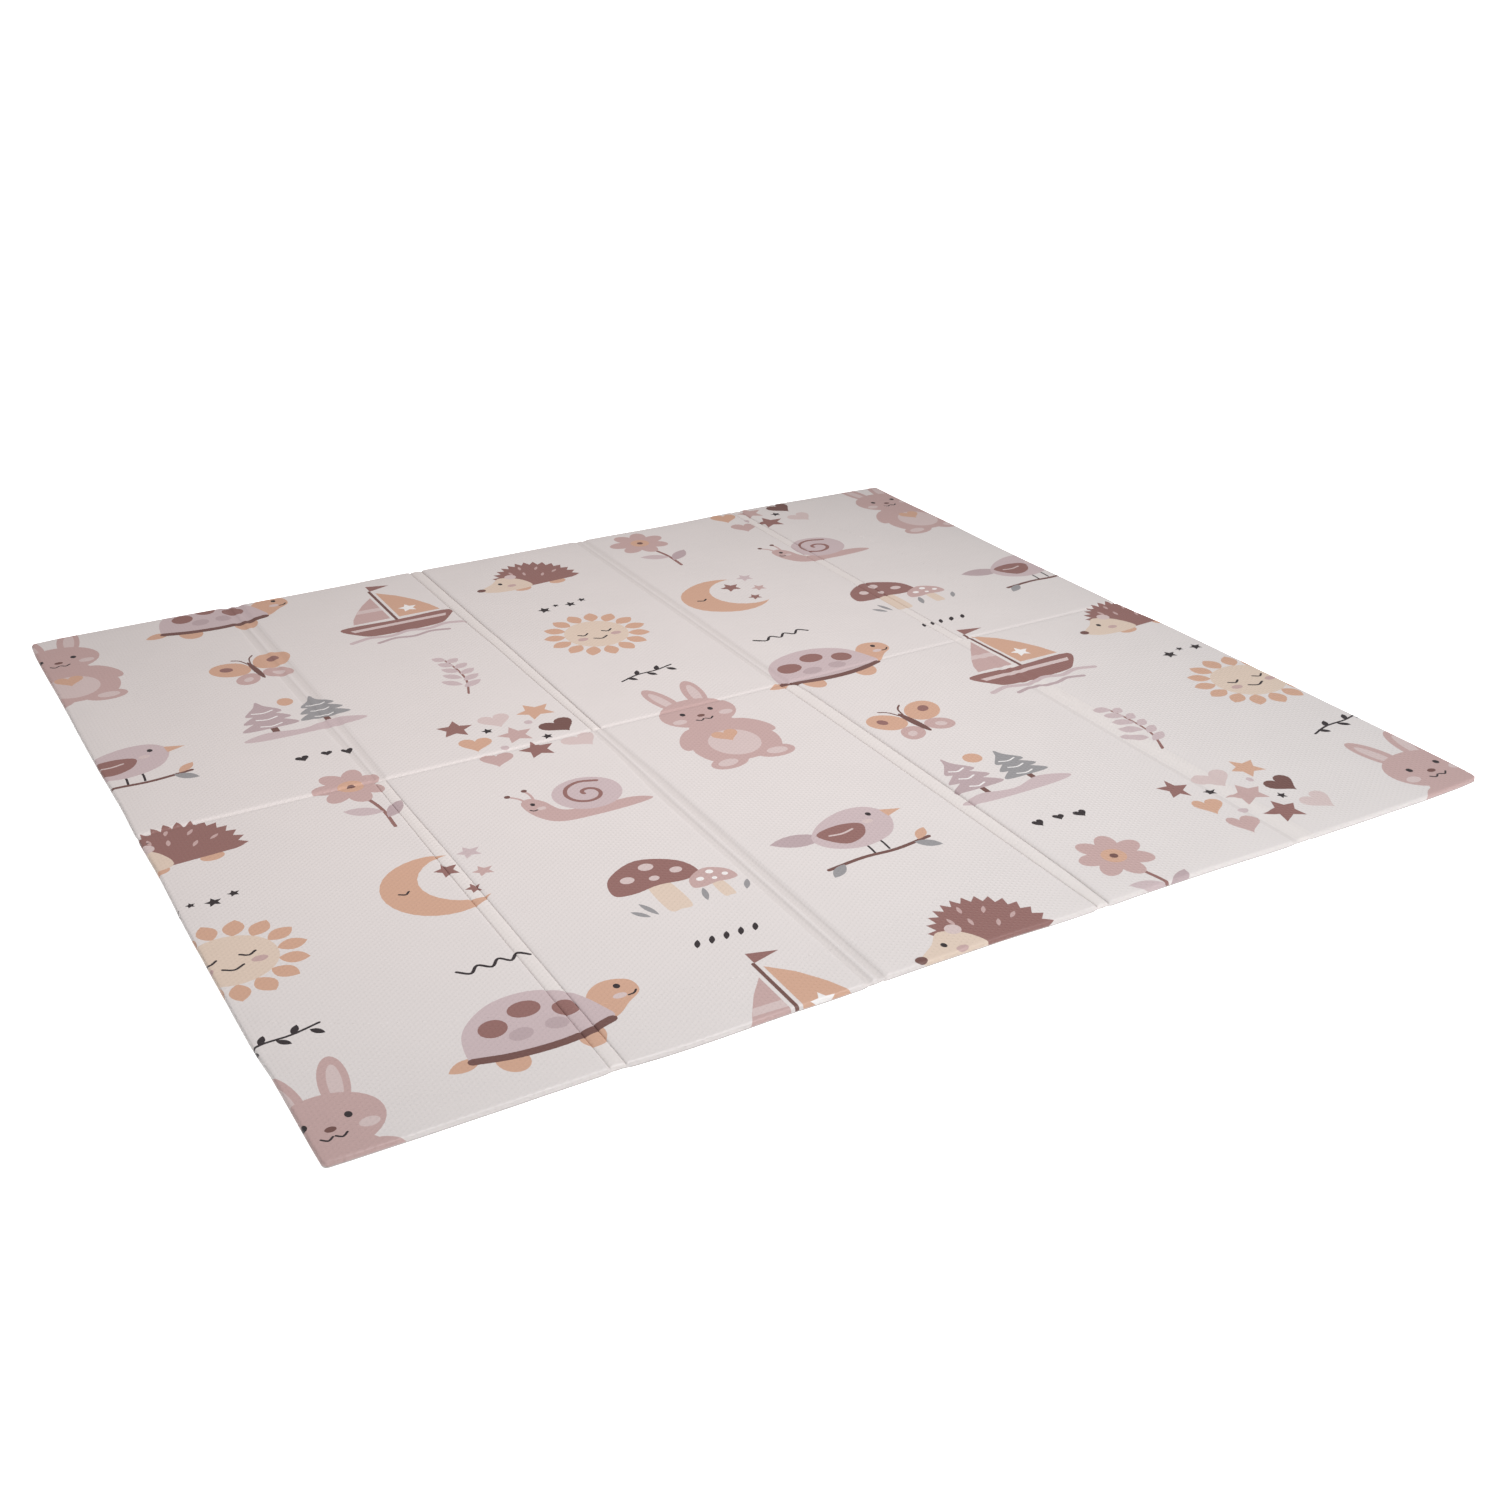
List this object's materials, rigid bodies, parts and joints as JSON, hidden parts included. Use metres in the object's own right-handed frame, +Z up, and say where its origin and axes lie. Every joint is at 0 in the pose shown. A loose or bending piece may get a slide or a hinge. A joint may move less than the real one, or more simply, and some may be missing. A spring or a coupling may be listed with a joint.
{
  "type": "folding foam baby play mat",
  "caption": "Large padded floor mat of soft foam skinned with printed film, opened flat, with pressed folds between its panels and a rounded rim.",
  "frame": {"origin": "middle of the underside, on the floor the mat lies on", "axes": "+Z up out of the printed face, +X along the long side from left to right, +Y along the short side from the front edge to the back edge"},
  "size_m": [2.013, 1.807, 0.01],
  "materials": {
    "film": "soft embossed plastic film over foam, warm off-white with a matt sheen and a printed nursery pattern"
  },
  "bodies": {
    "root": {"foam_mat": "film"}
  },
  "joints": []
}
